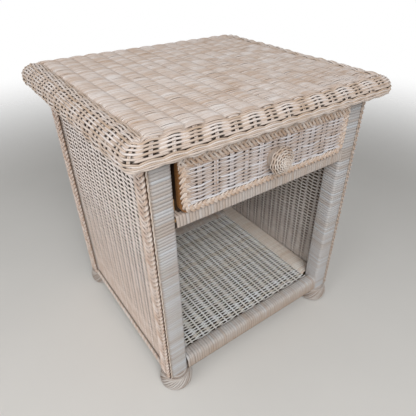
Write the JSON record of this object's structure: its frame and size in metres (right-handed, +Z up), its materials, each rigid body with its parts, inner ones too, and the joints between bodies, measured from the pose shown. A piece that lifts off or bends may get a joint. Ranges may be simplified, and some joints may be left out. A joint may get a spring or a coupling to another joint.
{
  "type": "nightstand",
  "caption": "Square whitewashed wicker nightstand with a woven top and rolled overhanging border, a drawer with a coiled knob, an open woven shelf and bun feet.",
  "frame": {"origin": "on the floor under the middle of the top", "axes": "+Z up, -Y out of the front, +X to the right seen from the front"},
  "size_m": [0.568, 0.512, 0.608],
  "materials": {
    "top_reed": "whitewashed reed, matte",
    "side_reed": "whitewashed reed, matte",
    "shelf_reed": "greyed whitewashed reed, matte",
    "drawer_reed": "whitewashed reed, matte",
    "plaited_reed": "plaited whitewashed reed, matte",
    "binding_cane": "whitewashed flat cane, satin",
    "rail_cane": "pickled flat cane, satin",
    "stained_wood": "brown stain, satin",
    "frame_wood": "sawn, bare",
    "plywood": "bare",
    "screw_steel": "plated"
  },
  "bodies": {
    "carcass": {"front_left_post": "binding_cane", "front_left_foot": "plaited_reed", "front_right_post": "binding_cane", "front_right_foot": "plaited_reed", "back_left_post": "binding_cane", "back_left_foot": "plaited_reed", "back_right_post": "binding_cane", "back_right_foot": "plaited_reed", "front_bottom_rail": "rail_cane", "back_bottom_rail": "rail_cane", "left_bottom_rail": "rail_cane", "right_bottom_rail": "rail_cane", "drawer_rail": "rail_cane", "front_top_rail": "frame_wood", "back_top_rail": "frame_wood", "left_top_rail": "frame_wood", "right_top_rail": "frame_wood", "back_middle_rail": "frame_wood", "shelf_bar": "frame_wood", "left_runner": "frame_wood", "right_runner": "frame_wood", "drawer_stops": "frame_wood", "frame_dowels": "frame_wood", "top_board": "plywood", "left_panel": "side_reed", "right_panel": "side_reed", "back_panel": "side_reed", "shelf_panel": "shelf_reed", "top_weave": "top_reed", "top_border": "top_reed", "left_front_braid": "plaited_reed", "left_back_braid": "plaited_reed", "left_bottom_edging": "plaited_reed", "right_front_braid": "plaited_reed", "right_back_braid": "plaited_reed", "right_bottom_edging": "plaited_reed", "top_screws": "screw_steel", "runner_screws": "screw_steel"},
    "drawer": {"drawer_front_board": "stained_wood", "drawer_front_weave": "drawer_reed", "drawer_front_braid": "drawer_reed", "drawer_left_side": "frame_wood", "drawer_right_side": "frame_wood", "drawer_back": "frame_wood", "drawer_bottom": "plywood", "drawer_knob": "drawer_reed", "knob_screw": "screw_steel"}
  },
  "joints": [
    {"name": "drawer_slide", "type": "slide", "parent": "carcass", "child": "drawer", "axis": [0, -1, 0], "range_m": [0, 0.26]}
  ]
}
